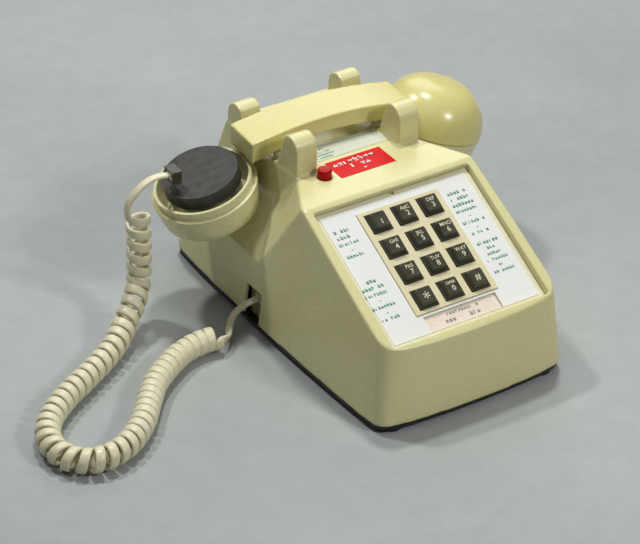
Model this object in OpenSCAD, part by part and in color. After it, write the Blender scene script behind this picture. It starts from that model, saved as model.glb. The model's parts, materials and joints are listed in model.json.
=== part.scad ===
// Push-button desk telephone: housing on a steel base, recessed faceplate with a
// twelve-key pad, two-eared cradle, handset on a curly cord.
// Frame: +Z up, front towards -Y, origin on the table under the middle of the body.

/* [Body] */
// Half width of the housing at its bottom edge, at its widest
body_half_w = 74; // [70:0.5:78]
// Half width of the housing where the top deck is
deck_half_w = 62.5; // [60:0.5:65]
// Distance from the middle of the body to its front edge, on the centre line
body_front = 123; // [121:0.5:125]
// Distance from the middle of the body to its rear edge
body_rear = 123; // [121:0.5:125]
// Height of the flat deck behind the faceplate
deck_z = 105.4; // [104:0.2:106]
// Height of the saddle that the handset's grip lies over
saddle_z = 97; // [94:0.5:98]
// Wall thickness of the moulded housing
wall = 2.6; // [2:0.1:3.2]

/* [Keypad] */
// Angle of the faceplate from level
plate_angle = 26.9; // [25:0.1:29]
// Distance between key centres, both ways
key_pitch = 19.05; // [18.5:0.05:19.5]
// Width of a key at its skirt
key_w = 13.5; // [12.8:0.1:14]
// Travel of a key
key_travel = 2.5; // [1.5:0.1:2.6]

/* [Handset] */
// Distance from the middle of the handset to the middle of each cap
cap_x = 83; // [80:0.5:84]
// Radius of each cap at its seam with the bowl
cap_r = 34.5; // [33:0.5:35]
// Inward tilt of the caps
cap_tilt = 17; // [15:0.5:21]
// Height of the top of the grip at mid length
grip_top_z = 132; // [131:0.5:134]
// Turn of the handset on the cradle, as seen from above
handset_yaw = -2.7; // [-3:0.1:0]

/* [Cord] */
// Outer diameter of the curly part of the handset cord
coil_d = 17; // [16:0.5:17]
// Width of the flat cord
cord_w = 5.4; // [4.5:0.1:5.6]

/* [Hidden] */
KEY_NAMES = ["key_1", "key_2", "key_3", "key_4", "key_5", "key_6",
    "key_7", "key_8", "key_9", "key_star", "key_0", "key_pound"];
$fn = 64;

// Housing: heights, outline and hollow
housing_z = 5.8;
top_z = 106;
side_bow = 3.2;
front_bow = 4;
corner_r = 10;
neck_half_w = 46;
ear_in = 30.5;
ear_out = 45.5;
ear_top_z = 130;
saddle_front = 46.5;
saddle_rear = 79;

// Faceplate, in its own tilted frame: x across, y up the slope, z out of the face
plate_y = -61.7;
plate_z = 78.8;
plate_half_w = 57;
plate_low = -54;
plate_high = 46;
bezel_half_w = 30;
bezel_half_h = 38;
frame_top = -3.4;
frame_low = -12;
board_top = -17;
number_y = -45.3;

// Handset
handset_y = 57.5;
seam_z = 85.4;
cap_y = 1.5;
grip_half_w = 16.5;
end_x = 68.5;
bowl_h = 30;
cap_h = 20;

// Hook switch
plunger_x = 37;
plunger_y = 48;
plunger_r = 4;
plunger_top = 106.2;
hook_pin_y = 72;
hook_pin_z = 72;
hook_pin_r = 2;

// Ringer
gong_x = 29;
gong_y = -76;
gong_r = 25;
clapper_y = -56;
wheel_r = 12;
wheel_x = 50;
wheel_y = -20;
wheel_z = 14;

// Jacks and lamp
base_jack_y = 21;
jack_z = 20;
line_jack_x = -30;
lamp_x = -30;
lamp_y = 7.5;
lamp_r = 4.6;

// Cord route, chosen by hand: tail from the handset, axis of the curly part, tail to the base
TAIL_HANDSET = [[-109.2, 62.9, 101.6], [-115, 63, 102.4], [-123, 63, 101.5], [-129, 63.5, 98],
    [-132, 64, 92], [-131.5, 65, 86], [-130, 65, 80]];
COIL_AXIS = [[-130, 65, 80], [-129, 65, 66], [-129, 65, 52], [-129, 65, 40],
    [-130.2, 63.7, 31], [-134.4, 59.4, 25], [-141, 53.1, 20.5], [-147.8, 48.1, 17],
    [-153.3, 43.5, 13.5], [-158.9, 39, 11.5], [-166.9, 32.9, 10], [-180.2, 24.6, 9],
    [-197, 15, 8.7], [-213, 6, 8.7], [-227, -4, 8.7], [-237, -14, 8.7],
    [-243, -25, 8.7], [-245, -37, 8.7], [-242, -49, 8.7], [-234, -57, 8.7],
    [-223, -59.5, 8.7], [-211, -57, 8.7], [-200, -51, 8.7], [-189, -42, 8.7],
    [-180, -32, 8.7], [-171, -21, 8.7], [-161, -10, 8.7], [-147, 0, 8.7],
    [-134, 7.5, 8.7], [-122, 11, 8.7], [-112, 12, 8.7], [-104, 11, 8.7]];
TAIL_BASE = [[-104, 11, 8.7], [-101, 10.5, 6], [-98, 12.5, 3.6], [-94.5, 16, 5],
    [-91, 19, 9.5], [-87, 20.6, 14], [-81.5, 21.2, 17.6], [-75, 21, 19.6], [-68, 21, 20]];

function half_w(y, w) = w - side_bow * pow((y - 10) / 115, 2);
function front_y(x, y0) = y0 + front_bow * pow(x / 70, 2);
// Right half of the plan outline, from the front centre to the rear centre
function half_outline(w, front, rear, r) = concat(
    [for (x = [0:12:48]) [x, front_y(x, -front)]],
    [for (a = [-80:20:0]) [half_w(-front, w) - r + r * cos(a),
        front_y(half_w(-front, w), -front) + r + r * sin(a)]],
    [for (y = [-90:30:90]) [half_w(y, w), y]],
    [for (a = [0:18:90]) [half_w(rear, w) - r + r * cos(a), rear - r + r * sin(a)]]);
function mirrored(p) = [for (i = [len(p) - 1:-1:1]) [-p[i][0], p[i][1]]];
function outline(w, front, rear, r) =
    let (p = half_outline(w, front, rear, r)) concat(p, mirrored(p));

// Sweep helpers: side vectors carried along a route without twist, and rings across it
function unit(v) = v / norm(v);
function tangent(p, i) = unit(p[min(i + 1, len(p) - 1)] - p[max(i - 1, 0)]);
function carried(s, t) = unit(s - (s * t) * t);
function sides(p, i, s) =
    i == len(p) ? [] : let (c = carried(s, tangent(p, i))) concat([c], sides(p, i + 1, c));
function ring(p, i, s, r, n) =
    let (u = cross(s, tangent(p, i)))
    [for (k = [0:n - 1]) p[i] + r * (cos(360 * (k + 0.5) / n) * s + sin(360 * (k + 0.5) / n) * u)];

module tube(route, r, n) {
    count = len(route);
    side = sides(route, 0, [0, 1, 0]);
    points = [for (i = [0:count - 1]) each ring(route, i, side[i], r, n)];
    skin = [for (i = [0:count - 2], k = [0:n - 1])
        [i * n + k, i * n + (k + 1) % n, (i + 1) * n + (k + 1) % n, (i + 1) * n + k]];
    first = [[for (k = [n - 1:-1:0]) k]];
    last = [[for (k = [0:n - 1]) (count - 1) * n + k]];
    polyhedron(points, concat(first, skin, last));
}

// Places children in the faceplate's frame
module on_plate() {
    translate([0, plate_y, plate_z])
        rotate([plate_angle, 0, 0])
            children();
}

// Places children in the handset's frame, whose origin is under the middle of the grip
module on_handset() {
    translate([0, handset_y, 0])
        rotate([0, 0, handset_yaw])
            children();
}

// Places children at a cap's seam, z towards the bowl; side -1 is the transmitter's
module at_cap(side) {
    on_handset()
        translate([side * cap_x, cap_y, seam_z])
            rotate([0, side * cap_tilt, 0])
                children();
}

// A box given by its low corner and its high corner
module span(low, high) {
    translate(low)
        cube(high - low);
}

// Extrudes a side view, drawn as [y, z], from x0 to x1
module side_extrude(x0, x1) {
    translate([x0, 0, 0])
        rotate([90, 0, 90])
            linear_extrude(x1 - x0)
                children();
}

// Extrudes a front view, drawn as [x, z], from y0 to y1
module front_extrude(y0, y1) {
    translate([0, y1, 0])
        rotate([90, 0, 0])
            linear_extrude(y1 - y0)
                children();
}

module drafted_block(inset, z0) {
    hull() {
        translate([0, 0, z0])
            linear_extrude(0.01)
                polygon(outline(body_half_w - inset, body_front - inset, body_rear - inset,
                    corner_r - inset / 2));
        translate([0, 0, top_z + 4])
            linear_extrude(0.01)
                polygon(outline(deck_half_w - inset, body_front - 11 - inset,
                    body_rear - 12 - inset, corner_r - inset / 2));
    }
}

// Side view of the housing without its ears; drop lowers the top for the hollow inside
module housing_side(drop, slope_drop) {
    polygon([[-130, 0], [-130, 50 - slope_drop], [-18.8, deck_z - slope_drop],
        [-18.8, deck_z - drop], [23, deck_z - drop], [43, deck_z - 2 - drop],
        [saddle_front, saddle_z - drop],
        [saddle_rear, saddle_z - drop], [saddle_rear + 5, deck_z - drop],
        [98 - drop, deck_z - drop], [130, 30 - drop], [130, 0]]);
}

// Space beside the neck where the handset's caps hang
module cap_scoop() {
    intersection() {
        front_extrude(-40, 140)
            polygon([[neck_half_w, 150], [neck_half_w, 75], [69, 48], [95, 18], [120, 150]]);
        translate([62.5, -16.5, deck_z])
            rotate([0, 67.9, 28.3])
                translate([-200, -200, 0])
                    cube(400);
    }
}

// Side view of one front ear: upright face, round crest, sloping back
module ear_side() {
    polygon(concat([[15, 92], [15, 121]],
        [for (a = [170:-20:50]) [24 + 9 * cos(a), ear_top_z - 9 + 9 * sin(a)]],
        [[37.5, 106], [43, 102.6], [43, 92]]));
}

module ears(x0) {
    side_extrude(x0, x0 + ear_out - ear_in)
        ear_side();
    translate([0, 111.5, -9])
        mirror([0, 1, 0])
            side_extrude(x0, x0 + ear_out - ear_in)
                intersection() {
                    ear_side();
                    translate([0, 92])
                        square([31, 60]);
                }
}

module housing() {
    color("beige")
    difference() {
        union() {
            difference() {
                intersection() {
                    drafted_block(0, housing_z);
                    side_extrude(-90, 90)
                        housing_side(0, 0);
                }
                difference() {
                    intersection() {
                        drafted_block(wall, housing_z - 1);
                        side_extrude(-90, 90)
                            housing_side(wall, 11);
                    }
                    cap_scoop_walls();
                }
                cap_scoop();
                mirror([1, 0, 0])
                    cap_scoop();
            }
            ears(ear_in);
            ears(-ear_out);
            for (y = [-108, 104])
                translate([0, y, housing_z])
                    cylinder(h = 18, r = 5);
            span([-1.2, -119.5, housing_z], [1.2, -108, housing_z + 18]);
            span([-1.2, 104, housing_z], [1.2, 119, housing_z + 18]);
        }
        on_plate()
            span([-plate_half_w - 0.3, plate_low - 0.3, -2.2],
                [plate_half_w + 0.3, plate_high + 0.3, 40]);
        on_plate()
            span([-52, plate_low + 5, -14], [52, plate_high - 3.5, 0]);
        for (x = [-plunger_x, plunger_x])
            translate([x, plunger_y, saddle_z - 10])
                cylinder(h = 20, r = plunger_r + 0.4);
        translate([lamp_x, lamp_y, deck_z - 10])
            cylinder(h = 20, r = lamp_r + 0.2);
        span([-90, base_jack_y - 8.5, 0], [-60, base_jack_y + 8.5, 28]);
        span([line_jack_x - 8, 110, 0], [line_jack_x + 8, 130, 24]);
        span([-32, 90, 72], [32, 130, 88]);
        for (y = [-108, 104])
            translate([0, y, 0])
                cylinder(h = 20, r = 2.1);
    }
}

// Thickness of plastic that follows the two scoops and the rear finger recess
module cap_scoop_walls() {
    for (side = [0, 1])
        mirror([side, 0, 0])
            translate([-wall, -wall, -wall])
                cap_scoop();
    span([-35, 87, 69], [35, 130, 91]);
}

module base_plate() {
    color("black")
    difference() {
        translate([0, 0, 3.4])
            linear_extrude(2.2)
                polygon(outline(body_half_w - 1, body_front - 1.2, body_rear - 1, corner_r));
        translate([wheel_x - 3.4, wheel_y - 12, 0])
            cube([6.8, 24, 10]);
        for (y = [-108, 104])
            translate([0, y, 0])
                cylinder(h = 10, r = 2.4);
    }
}

module feet() {
    color("black") {
        for (side = [-1, 1]) {
            translate([side * 56, -110, 0])
                cylinder(h = 3.4, r = 7);
            span([side * 63 - 6, 72, 0], [side * 63 + 6, 116, 3.4]);
        }
    }
}

module housing_screws() {
    color("silver")
    for (y = [-108, 104])
        translate([0, y, 1.6]) {
            cylinder(h = 1.8, r = 4);
            cylinder(h = 16, r = 2);
        }
}

module faceplate() {
    color("ivory")
    on_plate()
        difference() {
            span([-plate_half_w, plate_low, -2], [plate_half_w, plate_high, 0]);
            span([-bezel_half_w - 0.2, -bezel_half_h - 0.2, -5],
                [bezel_half_w + 0.2, bezel_half_h + 0.2, 5]);
            span([-26.5, number_y - 5.4, -1.4], [26.5, number_y + 5.4, 5]);
            span([-2, plate_high - 2, -5], [2, plate_high + 1, 5]);
        }
}

module instruction_card() {
    color("whitesmoke")
    on_plate()
        difference() {
            span([-53.5, plate_low + 3, 0], [53.5, plate_high - 3, 0.4]);
            span([-bezel_half_w - 0.3, -bezel_half_h - 0.3, -5],
                [bezel_half_w + 0.3, bezel_half_h + 0.3, 5]);
            span([-26.5, number_y - 5.4, -5], [26.5, number_y + 5.4, 5]);
        }
}

module number_card() {
    color("moccasin")
    on_plate()
        span([-26, number_y - 5, -1.4], [26, number_y + 5, -1]);
}

module number_card_window() {
    color("lightcyan")
    on_plate()
        span([-26.2, number_y - 5.2, -0.9], [26.2, number_y + 5.2, -0.1]);
}

// Calls its children at every key's place, in the faceplate's frame
module at_keys() {
    for (column = [-1:1], row = [-1.5:1.5])
        translate([column * key_pitch, row * key_pitch, 0])
            children();
}

module square_block(w, z0, z1) {
    translate([-w / 2, -w / 2, z0])
        cube([w, w, z1 - z0]);
}

module keypad_bezel() {
    color("wheat")
    on_plate()
        difference() {
            span([-bezel_half_w, -bezel_half_h, frame_top], [bezel_half_w, bezel_half_h, 1.2]);
            at_keys()
                square_block(key_w + 0.9, -5, 5);
        }
}

module keypad_frame() {
    color("dimgray")
    on_plate()
        difference() {
            union() {
                span([-34, -41, frame_low], [34, 41, frame_top]);
                span([-56, -15, -7.4], [56, 15, -5.6]);
            }
            at_keys()
                square_block(7.4, -20, 5);
        }
}

module keypad_dome_sheet() {
    color("lightgray")
    on_plate() {
        span([-28.5, -35, board_top], [28.5, 35, board_top + 0.4]);
        at_keys()
            translate([0, 0, board_top + 0.4])
                cylinder(h = 0.3, r = 4);
    }
}

module keypad_circuit_board() {
    color("darkgreen")
    on_plate() {
        span([-34, -41, board_top - 1.6], [34, 41, board_top]);
        for (x = [-31.5, 31.5], y = [-38, 38])
            translate([x, y, board_top])
                cylinder(h = frame_low - board_top, r = 2);
    }
}

module key(index) {
    color("darkslategray")
    on_plate()
        translate([(index % 3 - 1) * key_pitch, (1.5 - floor(index / 3)) * key_pitch, 0]) {
            square_block(key_w, -0.4, 2.3);
            square_block(key_w - 2.6, 2.3, 5);
            square_block(6.6, board_top + 1 + key_travel, -0.4);
        }
}

module message_lamp_lens() {
    color("darkred")
    translate([lamp_x, lamp_y, 0]) {
        translate([0, 0, deck_z - 3])
            cylinder(h = 8, r = lamp_r);
        translate([0, 0, deck_z + 5])
            cylinder(h = 1, r1 = lamp_r, r2 = lamp_r - 1);
    }
}

module message_lamp_bulb() {
    color("white")
    translate([lamp_x, lamp_y, deck_z - 16])
        cylinder(h = 12.8, r = 3);
}

module notice_label() {
    color("red")
    span([-22, 0.2, deck_z], [18.5, 19.8, deck_z + 0.25]);
}

module cradle_card() {
    color("honeydew")
    translate([0, 23.8, deck_z - 0.07])
        rotate([-atan(2 / 20), 0, 0])
            span([-29.5, 0, 0], [29.5, 18.6, 0.35]);
}

module plunger(side) {
    color("white")
    translate([side * plunger_x, plunger_y, 0]) {
        translate([0, 0, 76])
            cylinder(h = plunger_top - 76, r = plunger_r);
        translate([0, 0, 74])
            cylinder(h = 3, r = 5.8);
    }
}

module hook_lever() {
    color("silver")
    difference() {
        union() {
            for (side = [-1, 1]) {
                translate([side * 14 - 4, hook_pin_y, hook_pin_z])
                    rotate([0, 90, 0])
                        cylinder(h = 8, r = 4);
                span([side * 14 - 4, 56, hook_pin_z - 1.5], [side * 14 + 4, hook_pin_y, hook_pin_z + 1.5]);
                span([side * plunger_x - 5, plunger_y - 4, hook_pin_z - 0.8],
                    [side * plunger_x + 5, 56, hook_pin_z + 1.4]);
            }
            span([-plunger_x - 5, 54, hook_pin_z - 1.5], [plunger_x + 5, 59, hook_pin_z + 1.4]);
        }
        translate([-50, hook_pin_y, hook_pin_z])
            rotate([0, 90, 0])
                cylinder(h = 100, r = hook_pin_r + 0.06);
    }
}

module hook_bracket() {
    color("silver")
    difference() {
        union() {
            for (side = [-1, 1])
                span([side * 23 - 1, 62, 5.6], [side * 23 + 1, 82, 79]);
            span([-24, 62, 5.6], [24, 82, 7.6]);
        }
        translate([-50, hook_pin_y, hook_pin_z])
            rotate([0, 90, 0])
                cylinder(h = 100, r = hook_pin_r);
    }
}

module hook_pin() {
    color("gray")
    translate([-26, hook_pin_y, hook_pin_z])
        rotate([0, 90, 0])
            cylinder(h = 52, r = hook_pin_r);
}

module hook_spring() {
    color("gray")
    translate([-8, hook_pin_y, hook_pin_z])
        rotate([0, 90, 0])
            difference() {
                cylinder(h = 16, r = 3.6);
                translate([0, 0, -1])
                    cylinder(h = 18, r = hook_pin_r + 0.4);
            }
}

module hook_contacts() {
    color("peru") {
        span([-9, 42, 33], [9, 52, 45]);
        for (x = [-6, -2, 2, 6])
            span([x - 1, 46, 45], [x + 1, 46.6, 62]);
    }
}

module network_block() {
    color("gray") {
        span([-34, 0, 5.6], [34, 60, 27]);
        span([-9, 42, 27], [9, 52, 33]);
    }
}

module network_terminals() {
    color("gold")
    for (x = [-28:8:28], y = [6, 34])
        translate([x, y, 27])
            cylinder(h = 2.4, r = 2.4);
}

module ringer_frame() {
    color("silver")
    difference() {
        union() {
            span([-46, -50, 5.6], [57, -34, 7.6]);
            span([-5, -60, 5.6], [5, -50, 8.6]);
            for (side = [-1, 1]) {
                span([side * 44 - 2, -50, 5.6], [side * 44 + 2, -34, 24]);
                translate([side * gong_x, gong_y, 5.6])
                    cylinder(h = 18, r = 4);
                span([side * gong_x - 4, gong_y, 5.6], [side * gong_x + 4, -40, 7.6]);
            }
            span([wheel_x + 3.6, -34, 5.6], [wheel_x + 5.2, -10, 19]);
            span([wheel_x - 5.2, -34, 5.6], [wheel_x - 3.6, -10, 19]);
            span([wheel_x - 5.2, -40, 5.6], [wheel_x + 5.2, -33, 7.6]);
        }
        translate([wheel_x - 10, wheel_y, wheel_z])
            rotate([0, 90, 0])
                cylinder(h = 20, r = 1.5);
        translate([0, clapper_y, 0])
            cylinder(h = 20, r = 1.25);
        for (side = [-1, 1])
            translate([side * gong_x, gong_y, 10])
                cylinder(h = 20, r = 1.6);
    }
}

module ringer_coil() {
    color("saddlebrown")
    translate([-30, -42, 17])
        rotate([0, 90, 0]) {
            cylinder(h = 60, r = 8);
            translate([0, 0, -11.8])
                cylinder(h = 83.6, r = 3);
        }
}

// A shallow bell with its mouth down, hung on its post
module gong(side) {
    color("goldenrod")
    translate([side * gong_x, gong_y, 12])
        rotate_extrude()
            polygon([[1.7, 13.2], [1.7, 11.7], [14, 11.2], [21, 8], [23.4, 0],
                [gong_r, 0], [22.8, 9], [15, 12.8]]);
}

module gong_screws() {
    color("silver")
    for (side = [-1, 1])
        translate([side * gong_x, gong_y, 12]) {
            translate([0, 0, 13.2])
                cylinder(h = 2, r = 3.6);
            cylinder(h = 14, r = 1.6);
        }
}

// Ball on a wire between the two gongs, swinging about a short upright spindle
module ringer_clapper() {
    color("silver") {
        translate([0, clapper_y, 5.8])
            cylinder(h = 10, r = 1.2);
        translate([0, gong_y, 12.5])
            rotate([-90, 0, 0])
                cylinder(h = clapper_y - gong_y, r = 0.8);
        translate([0, gong_y, 12.5])
            sphere(r = 2.4);
    }
}

module ringer_volume_wheel() {
    color("darkgray")
    translate([wheel_x - 2.4, wheel_y, wheel_z])
        rotate([0, 90, 0])
            difference() {
                union() {
                    cylinder(h = 4.8, r = wheel_r - 0.8);
                    for (a = [0:20:340])
                        rotate([0, 0, a])
                            translate([wheel_r - 1.4, -1, 0])
                                cube([1.2, 2, 4.8]);
                }
                translate([0, 0, -1])
                    cylinder(h = 8, r = 1.56);
            }
}

module volume_wheel_axle() {
    color("silver")
    translate([wheel_x - 6, wheel_y, wheel_z])
        rotate([0, 90, 0])
            cylinder(h = 12, r = 1.5);
}

module base_jack() {
    color("ivory")
    difference() {
        span([-68, base_jack_y - 8, 5.8], [-50, base_jack_y + 8, 27]);
        span([-69, base_jack_y - 3.9, jack_z - 3.4], [-55, base_jack_y + 3.9, jack_z + 3.4]);
    }
}

module line_jack() {
    color("ivory")
    difference() {
        span([line_jack_x - 7.5, 98, 5.8], [line_jack_x + 7.5, 117, 22]);
        span([line_jack_x - 5, 105, 9], [line_jack_x + 5, 118, 16]);
    }
}

// Height of the grip's top surface at a distance x from mid length
function grip_z(x) = grip_top_z - 18.3 * pow(x / 100, 2) + 2.2 * pow(x / 100, 4);

module grip_side(depth) {
    top = [for (x = [-100:10:100]) [x, grip_z(x)]];
    underside = [for (x = [50:-10:-50]) [x, grip_z(x) - depth - 2 * pow(x / 50, 2)]];
    polygon(concat([[-116, 90], [-104.5, grip_z(104.5)]], top,
        [[104.5, grip_z(104.5)], [116, 90], [62, 90]], underside, [[-62, 90]]));
}

// What is left outside the rounded, sloping end of the handset
module beyond_end(side) {
    on_handset()
        mirror([side < 0 ? 1 : 0, 0, 0])
            difference() {
                span([end_x, -70, 62], [140, 70, 118]);
                translate([end_x, 0, 60])
                    cylinder(h = 60, r1 = 61.6, r2 = 33.5);
            }
}

module bowl_profile(r, h) {
    polygon(concat([[0, 0]],
        [for (a = [0:10:80]) [r * pow(cos(a), 0.7), h * sin(a)]], [[0, h]]));
}

module handset_grip() {
    color("khaki")
    difference() {
        union() {
            on_handset() {
                front_extrude(-grip_half_w, grip_half_w)
                    grip_side(16.5);
                front_extrude(2 - grip_half_w, grip_half_w - 2)
                    grip_side(20.5);
            }
            for (side = [-1, 1])
                at_cap(side)
                    rotate_extrude()
                        bowl_profile(cap_r, bowl_h);
        }
        for (side = [-1, 1])
            beyond_end(side);
        for (side = [-1, 1])
            at_cap(side) {
                translate([0, 0, -40])
                    cylinder(h = 40, r = 60);
                translate([0, 0, -1])
                    cylinder(h = 9, r = cap_r - wall);
                cylinder(h = 13, r = 25);
            }
        on_handset() {
            span([-70, -5, 114], [70, 5, 120]);
            for (x = [-66, 66])
                span([x - 4, -5, 98], [x + 4, 5, 116]);
            span([-120, -5.5, 97], [-102.2, 5.5, 106]);
        }
    }
}

// Moulded cap: drafted skirt, slightly hollow face with a ring of sound holes
module cap(side, rings) {
    at_cap(side)
        mirror([0, 0, 1])
            difference() {
                rotate_extrude()
                    polygon([[0, 15.5], [20, 17.3], [26.5, cap_h], [29.5, cap_h - 0.6], [31.2, cap_h - 3],
                        [33.2, 6.5], [cap_r - 0.3, 0.3],
                        [cap_r - wall - 0.3, 0.3], [cap_r - wall - 0.3, -5], [cap_r - wall - 2.2, -5],
                        [cap_r - wall - 2.6, 2], [28, 14], [20, 15], [0, 13.3]]);
                for (ring = rings)
                    for (k = [0:ring[1] - 1])
                        rotate([0, 0, 360 * k / ring[1]])
                            translate([ring[0], 0, 10])
                                cylinder(h = 12, r = 1.2);
            }
}

module receiver_cap() {
    color("beige")
    cap(1, [[0.001, 1], [8, 6]]);
}

module transmitter_cap() {
    color("beige")
    cap(-1, [[0.001, 1], [6, 6], [12, 12]]);
}

module receiver_unit() {
    color("gray")
    at_cap(1)
        translate([0, 0, -11.5])
            cylinder(h = 20, r = 23);
}

module transmitter_unit() {
    color("gray")
    at_cap(-1)
        translate([0, 0, -11.5])
            cylinder(h = 14, r = 23);
}

module transmitter_cup() {
    color("black")
    at_cap(-1)
        difference() {
            translate([0, 0, 2.6])
                cylinder(h = 9.4, r = 24.6);
            translate([0, 0, 2])
                cylinder(h = 7, r = 22.8);
        }
}

module handset_jack() {
    color("dimgray")
    on_handset()
        difference() {
            span([-109, -5.3, 97.2], [-102.4, 5.3, 105.8]);
            span([-112, -3.9, 98.4], [-104, 3.9, 104.4]);
        }
}

module handset_plug() {
    color("ivory")
    on_handset()
        span([-108.5, -3.6, 98.7], [-104.3, 3.6, 104.1]);
}

module base_plug() {
    color("ivory")
    span([-68, base_jack_y - 3.6, jack_z - 3], [-56, base_jack_y + 3.6, jack_z + 3]);
}

module cord_tail_handset() {
    color("ivory")
    tube(TAIL_HANDSET, cord_w / 2, 10);
}

module cord_coil() {
    color("ivory")
    tube(COIL_AXIS, coil_d / 2, 12);
}

module cord_tail_base() {
    color("ivory")
    tube(TAIL_BASE, cord_w / 2, 10);
}

base_plate();
feet();
housing();
housing_screws();
faceplate();
instruction_card();
number_card();
number_card_window();
keypad_bezel();
keypad_frame();
keypad_dome_sheet();
keypad_circuit_board();
key(0);  // key_1
key(1);  // key_2
key(2);  // key_3
key(3);  // key_4
key(4);  // key_5
key(5);  // key_6
key(6);  // key_7
key(7);  // key_8
key(8);  // key_9
key(9);  // key_star
key(10);  // key_0
key(11);  // key_pound
message_lamp_lens();
message_lamp_bulb();
notice_label();
cradle_card();
plunger(-1);  // plunger_left
plunger(1);  // plunger_right
hook_lever();
hook_bracket();
hook_pin();
hook_spring();
hook_contacts();
network_block();
network_terminals();
ringer_frame();
ringer_coil();
gong(-1);  // gong_left
gong(1);  // gong_right
gong_screws();
ringer_clapper();
ringer_volume_wheel();
volume_wheel_axle();
base_jack();
line_jack();
handset_grip();
receiver_cap();
transmitter_cap();
receiver_unit();
transmitter_unit();
transmitter_cup();
handset_jack();
handset_plug();
base_plug();
cord_tail_handset();
cord_coil();
cord_tail_base();
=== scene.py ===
import json
import math
import random

import bmesh
import bpy
import numpy as np
from mathutils import Matrix, Vector


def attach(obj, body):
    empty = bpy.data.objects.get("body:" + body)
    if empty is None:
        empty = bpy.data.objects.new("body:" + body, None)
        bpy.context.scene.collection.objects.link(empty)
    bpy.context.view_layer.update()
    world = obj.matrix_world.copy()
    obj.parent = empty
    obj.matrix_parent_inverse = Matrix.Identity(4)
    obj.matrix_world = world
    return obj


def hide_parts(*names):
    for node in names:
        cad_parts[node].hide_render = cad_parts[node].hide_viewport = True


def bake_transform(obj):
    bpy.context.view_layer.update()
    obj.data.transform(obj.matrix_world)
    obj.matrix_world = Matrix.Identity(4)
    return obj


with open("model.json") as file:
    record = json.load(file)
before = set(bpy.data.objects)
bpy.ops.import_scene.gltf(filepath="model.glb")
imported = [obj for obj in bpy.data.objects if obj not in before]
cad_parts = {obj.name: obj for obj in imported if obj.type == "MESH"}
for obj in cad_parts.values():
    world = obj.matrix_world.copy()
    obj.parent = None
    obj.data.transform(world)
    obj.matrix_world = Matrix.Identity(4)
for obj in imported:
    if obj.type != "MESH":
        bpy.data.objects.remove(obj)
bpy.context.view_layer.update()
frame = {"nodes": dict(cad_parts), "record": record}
nodes = frame["nodes"]
scene = bpy.context.scene
MM = 0.001


# ---------------------------------------------------------------- camera
def set_camera():
    """Seen from the front left, 34 degrees down, rolled a little, with a long lens."""
    azimuth, elevation, roll = map(math.radians, (-33.99, 33.81, 1.765))
    target = Vector((-0.0552, -0.0282, 0.0639))
    distance = 1.7255
    forward = Vector((-math.sin(azimuth) * math.cos(elevation),
                      math.cos(azimuth) * math.cos(elevation), -math.sin(elevation)))
    right = forward.cross(Vector((0, 0, 1))).normalized()
    up = right.cross(forward)
    right2 = math.cos(roll) * right + math.sin(roll) * up
    up2 = right2.cross(forward)
    cam = bpy.data.cameras.new("camera")
    cam.lens = 158.9
    cam.sensor_width = 36
    cam.clip_end = 30
    ob = bpy.data.objects.new("camera", cam)
    scene.collection.objects.link(ob)
    rotation = Matrix((right2, up2, -forward)).transposed().to_4x4()
    ob.matrix_world = Matrix.Translation(target - forward * distance) @ rotation
    scene.camera = ob


set_camera()


# ---------------------------------------------------------------- mesh helpers
def link(name, mesh):
    ob = bpy.data.objects.new(name, mesh)
    scene.collection.objects.link(ob)
    return ob


def solid(name, verts, faces):
    """A closed mesh from points in millimetres."""
    mesh = bpy.data.meshes.new(name)
    mesh.from_pydata([tuple(float(c) * MM for c in v) for v in verts], [], faces)
    bm = bmesh.new()
    bm.from_mesh(mesh)
    bmesh.ops.recalc_face_normals(bm, faces=bm.faces)
    bm.to_mesh(mesh)
    bm.free()
    return link(name, mesh)


def bake_modifiers(ob):
    depsgraph = bpy.context.evaluated_depsgraph_get()
    mesh = bpy.data.meshes.new_from_object(ob.evaluated_get(depsgraph), depsgraph=depsgraph)
    old = ob.data
    ob.modifiers.clear()
    ob.data = mesh
    bpy.data.meshes.remove(old)
    return ob


def boolean(ob, tool, operation):
    m = ob.modifiers.new("boolean", "BOOLEAN")
    m.operation = operation
    m.solver = "EXACT"
    m.object = tool
    bake_modifiers(ob)
    bpy.data.objects.remove(tool)
    return ob


def cut(ob, *tools):
    for tool in tools:
        boolean(ob, tool, "DIFFERENCE")
    return ob


def join(ob, *tools):
    for tool in tools:
        boolean(ob, tool, "UNION")
    return ob


def block(lo, hi, matrix=None):
    pts = [(x, y, z) for x in (lo[0], hi[0]) for y in (lo[1], hi[1]) for z in (lo[2], hi[2])]
    faces = [(0, 1, 3, 2), (4, 6, 7, 5), (0, 4, 5, 1), (2, 3, 7, 6), (0, 2, 6, 4), (1, 5, 7, 3)]
    ob = solid("block", pts, faces)
    if matrix is not None:
        ob.data.transform(matrix)
    return ob


def prism(points, place, a, b):
    """A polygon between a and b; place turns (u, v, w) into a point in millimetres."""
    n = len(points)
    verts = [place(u, v, a) for u, v in points] + [place(u, v, b) for u, v in points]
    faces = [tuple(range(n)), tuple(range(2 * n - 1, n - 1, -1))]
    faces += [(i, n + i, n + (i + 1) % n, (i + 1) % n) for i in range(n)]
    return solid("prism", verts, faces)


def side_prism(points, x0, x1):
    return prism(points, lambda y, z, x: (x, y, z), x0, x1)


def front_prism(points, y0, y1):
    return prism(points, lambda x, z, y: (x, y, z), y0, y1)


def rod(radius, z0, z1, centre, matrix=None, sides=24):
    ring = [(centre[0] + radius * math.cos(2 * math.pi * k / sides),
             centre[1] + radius * math.sin(2 * math.pi * k / sides)) for k in range(sides)]
    ob = prism(ring, lambda x, y, z: (x, y, z), z0, z1)
    if matrix is not None:
        ob.data.transform(matrix)
    return ob


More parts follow.
